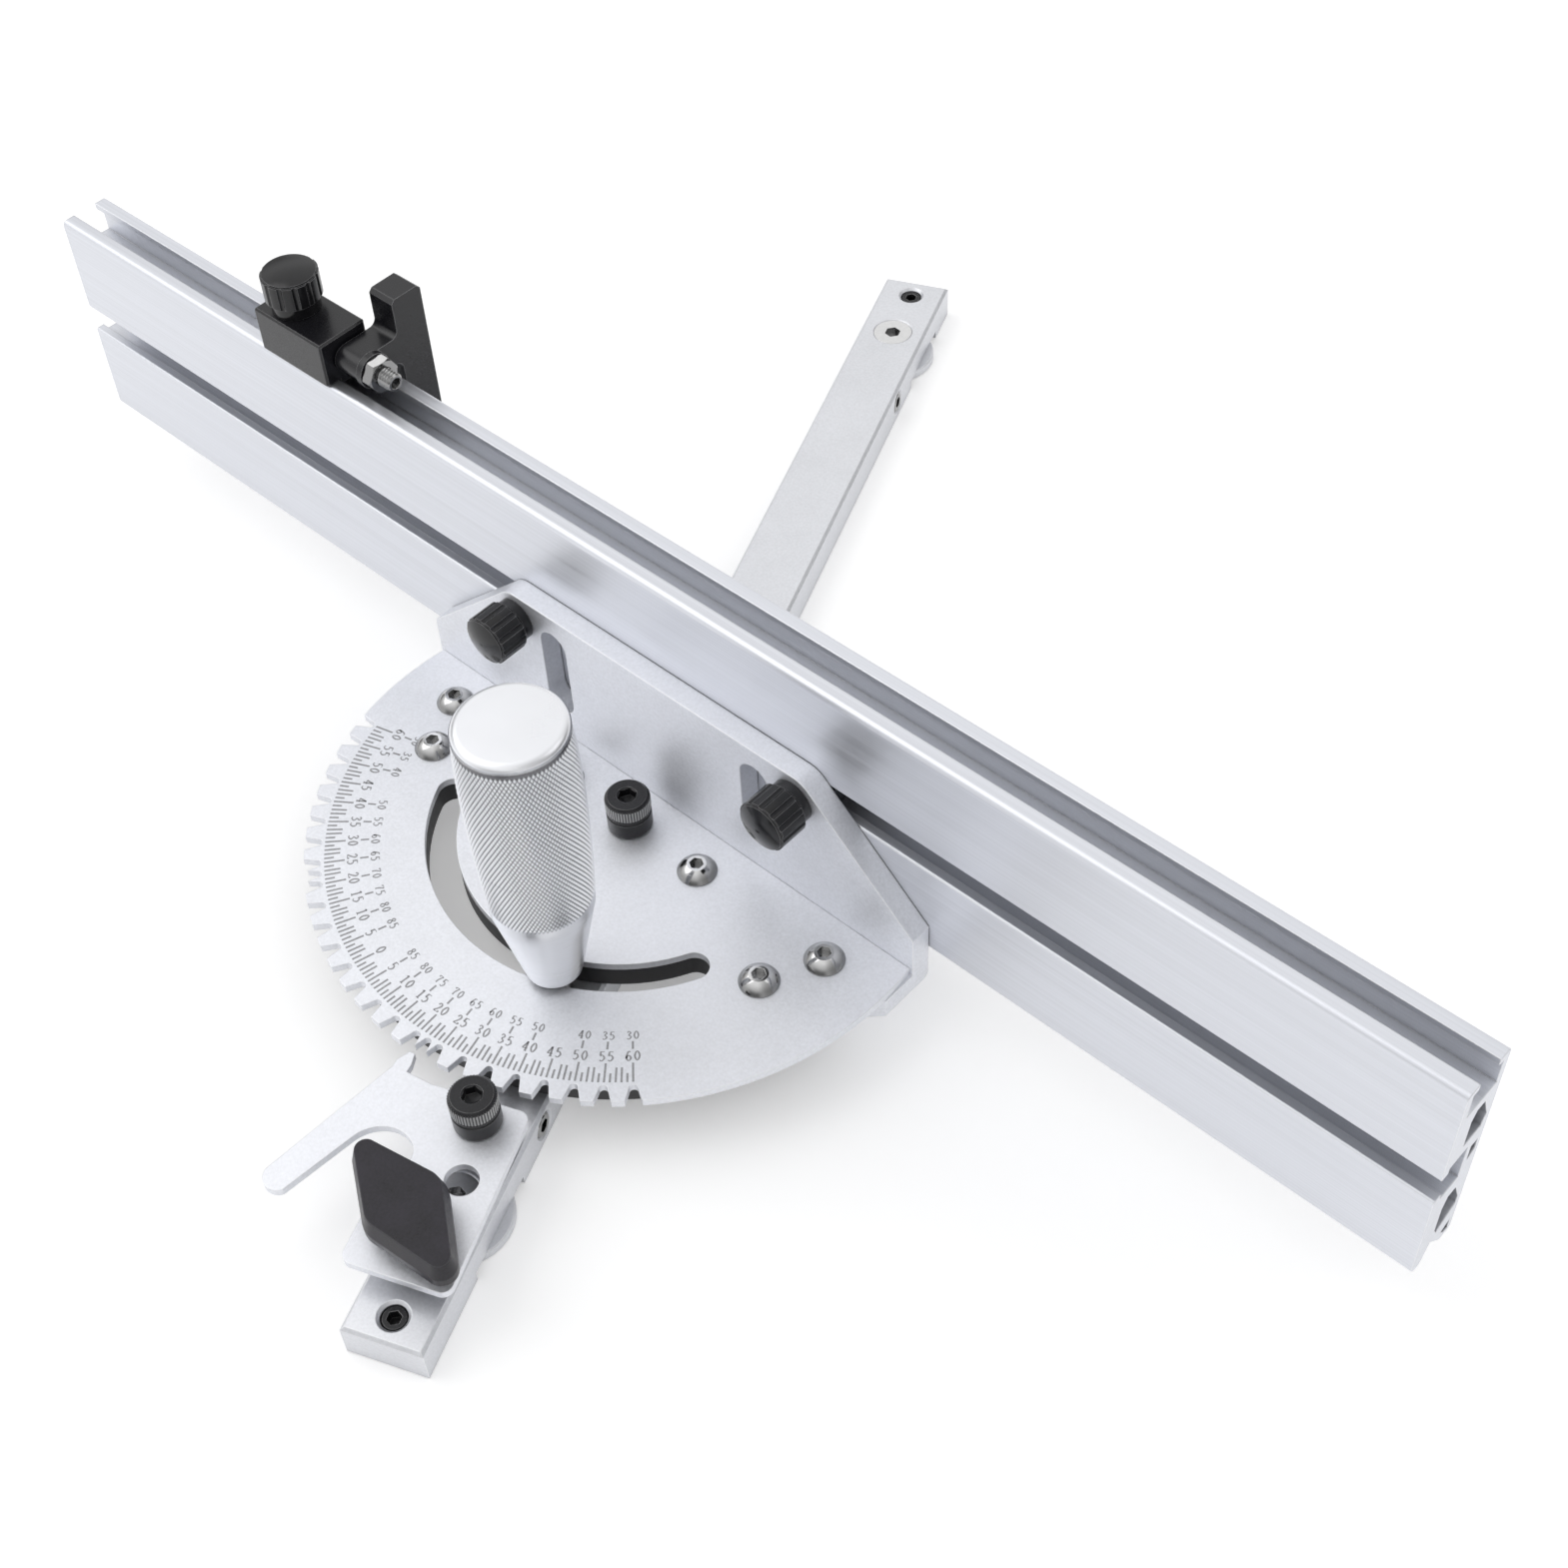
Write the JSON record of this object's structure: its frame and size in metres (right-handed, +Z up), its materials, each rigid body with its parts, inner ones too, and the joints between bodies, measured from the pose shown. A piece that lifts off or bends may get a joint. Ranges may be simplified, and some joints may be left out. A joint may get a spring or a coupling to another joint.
{
  "type": "miter gauge",
  "caption": "Miter gauge: a bar for a table slot, a notched sector head with index plate and knurled lock handle, and a slotted fence with a flip stop.",
  "frame": {"origin": "where the head's pivot axis meets the underside of the bar, which rests on the slot's floor", "axes": "+X along the fence to the operator's right, +Y away from the operator through the fence, +Z up. The bar lies 22.5 degrees anticlockwise from +Y, as it was set last"},
  "size_m": [0.42, 0.3445, 0.1049],
  "materials": {
    "bar_steel": "fine blasted steel",
    "stainless": "bright steel",
    "black_oxide": "black oxide",
    "sector_silver": "fine blasted, silver anodised",
    "bracket_silver": "fine blasted, silver anodised",
    "fence_silver": "drawn and brushed along its length, silver anodised",
    "handle_silver": "turned and knurled",
    "pad_black": "moulded, satin",
    "knob_gloss": "moulded, glossy",
    "knob_matte": "cast, matte, worn",
    "anodised_black": "black anodised, satin"
  },
  "bodies": {
    "bar": {"guide_bar": "bar_steel", "near_guide_disc": "bar_steel", "far_guide_disc": "bar_steel", "disc_screws": "stainless", "end_grub_screws": "black_oxide", "side_grub_screws": "stainless", "pivot_screw": "black_oxide", "pivot_collar": "black_oxide", "index_screw": "black_oxide", "index_collar": "black_oxide", "index_bushes": "black_oxide", "index_clamp_stud": "stainless", "lock_stud": "stainless", "lock_washer": "black_oxide"},
    "head": {"sector_plate": "sector_silver", "glide_pad": "pad_black", "fence_bracket": "bracket_silver", "sector_screws": "stainless", "fence_bolts": "stainless"},
    "lock_handle": {"lock_handle": "handle_silver"},
    "index_plate": {"index_plate": "sector_silver"},
    "index_knob": {"index_knob": "knob_matte"},
    "left_fence_knob": {"left_fence_knob": "knob_gloss"},
    "right_fence_knob": {"right_fence_knob": "knob_gloss"},
    "fence": {"fence": "fence_silver"},
    "stop": {"stop_block": "anodised_black", "stop_bolt": "stainless", "stop_stud": "stainless", "stop_nut": "stainless"},
    "stop_knob": {"stop_knob": "knob_gloss"},
    "stop_arm": {"stop_arm": "anodised_black"}
  },
  "joints": [
    {"name": "head_turn", "type": "hinge", "parent": "bar", "child": "head", "pos_m": [0, 0, 0.0171], "axis": [0, 0, 1], "range_deg": [-37.5, 82.5]},
    {"name": "handle_turn", "type": "hinge", "parent": "bar", "child": "lock_handle", "pos_m": [0.01726, -0.04167, 0.0188], "axis": [0, 0, 1], "range_deg": [0, 270]},
    {"name": "index_swing", "type": "hinge", "parent": "bar", "child": "index_plate", "pos_m": [0.03322, -0.08019, 0.0161], "axis": [0, 0, 1], "range_deg": [-9, 6]},
    {"name": "index_knob_turn", "type": "hinge", "parent": "bar", "child": "index_knob", "pos_m": [0.04235, -0.10747, 0.0172], "axis": [0, 0, 1], "range_deg": [0, 180]},
    {"name": "left_knob_turn", "type": "hinge", "parent": "head", "child": "left_fence_knob", "pos_m": [-0.0439, 0.0101, 0.0497], "axis": [0, -1, 0], "range_deg": [0, 270]},
    {"name": "right_knob_turn", "type": "hinge", "parent": "head", "child": "right_fence_knob", "pos_m": [0.0439, 0.0101, 0.0497], "axis": [0, -1, 0], "range_deg": [0, 270]},
    {"name": "fence_slide", "type": "slide", "parent": "head", "child": "fence", "axis": [1, 0, 0], "range_m": [-0.1, 0.1]},
    {"name": "stop_slide", "type": "slide", "parent": "fence", "child": "stop", "axis": [1, 0, 0], "range_m": [-0.08, 0.3]},
    {"name": "stop_knob_turn", "type": "hinge", "parent": "stop", "child": "stop_knob", "pos_m": [-0.128, 0.0231, 0.0935], "axis": [0, 0, 1], "range_deg": [0, 270]},
    {"name": "arm_flip", "type": "hinge", "parent": "stop", "child": "stop_arm", "pos_m": [-0.1062, 0.0231, 0.0872], "axis": [1, 0, 0], "range_deg": [0, 90]}
  ]
}
